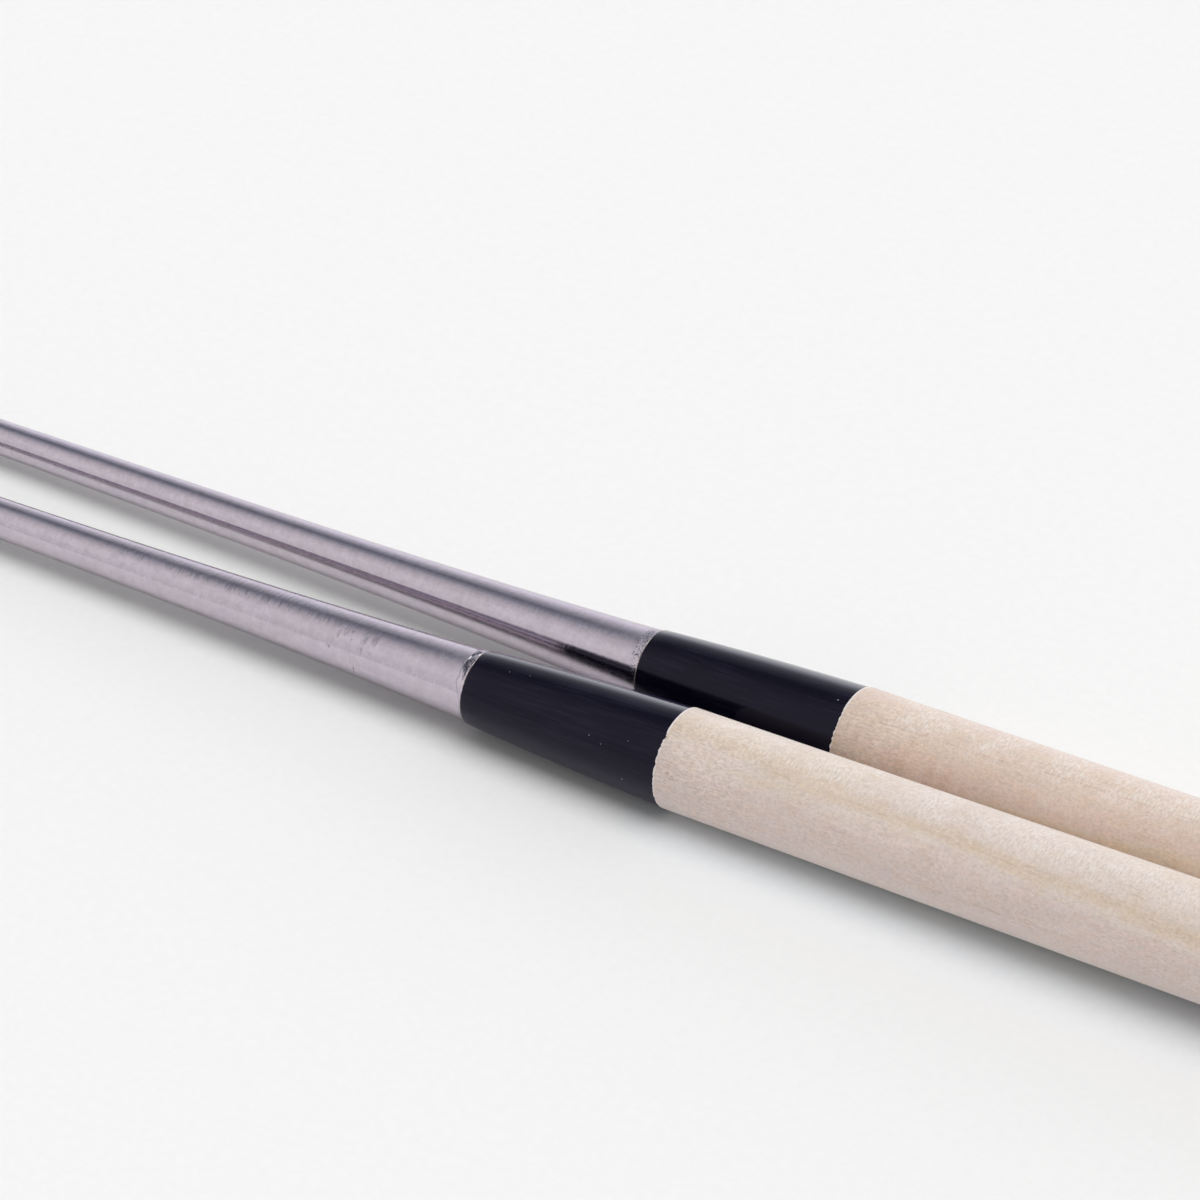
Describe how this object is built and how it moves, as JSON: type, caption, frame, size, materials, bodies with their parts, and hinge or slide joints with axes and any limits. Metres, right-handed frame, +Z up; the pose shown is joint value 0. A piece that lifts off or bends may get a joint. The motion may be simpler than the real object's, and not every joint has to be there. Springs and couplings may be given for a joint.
{
  "type": "pair of plating chopsticks",
  "caption": "Slim plating chopsticks with tapered metal rods, dark horn ferrules and round wooden handles, for setting food on plates.",
  "frame": {"origin": "on the table, below the middle of the pair's box", "axes": "+X along the sticks towards the butts of the handles, +Y from the front stick to the rear one, +Z up from the table"},
  "size_m": [0.2992, 0.025, 0.014],
  "materials": {
    "metal": "satin polished, with fine marks and a dull ring before the ferrule",
    "horn": "glossy dark horn with fine lengthwise streaks",
    "wood": "pale close-grained wood, sanded and left bare"
  },
  "bodies": {
    "root": {"front_rod": "metal", "front_ferrule": "horn", "front_handle": "wood", "rear_rod": "metal", "rear_ferrule": "horn", "rear_handle": "wood"}
  },
  "joints": []
}
